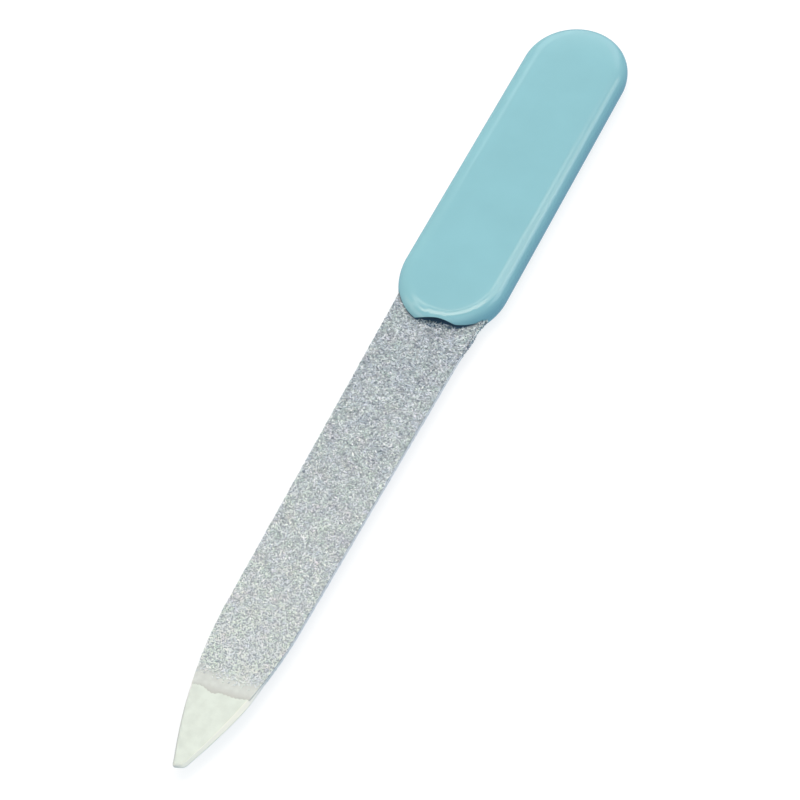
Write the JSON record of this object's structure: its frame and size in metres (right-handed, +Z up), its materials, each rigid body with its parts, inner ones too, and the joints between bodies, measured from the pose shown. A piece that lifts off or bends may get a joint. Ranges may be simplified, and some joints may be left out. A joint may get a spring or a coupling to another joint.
{
  "type": "metal nail file",
  "caption": "Pointed flat steel nail file with a grit coat on both faces, a bare tip, and a flat round-ended plastic handle closed over its tang.",
  "frame": {"origin": "under the middle of the file's box, on the surface that the handle lies on", "axes": "+X along the blade to the tip, +Y to the right side seen from above with the tip towards the viewer, +Z up out of the filing face"},
  "size_m": [0.14, 0.0158, 0.0042],
  "materials": {
    "handle_plastic": "smooth gloss, light aqua",
    "blade_steel": "pale satin, faintly mottled",
    "bond_coat": "thin matt resin, pale grey",
    "grit": "crushed bright grains, silver grey"
  },
  "bodies": {
    "root": {"upper_handle_shell": "handle_plastic", "lower_handle_shell": "handle_plastic", "steel_blade": "blade_steel", "upper_bond_coat": "bond_coat", "lower_bond_coat": "bond_coat", "upper_grit_coat": "grit", "lower_grit_coat": "grit"}
  },
  "joints": []
}
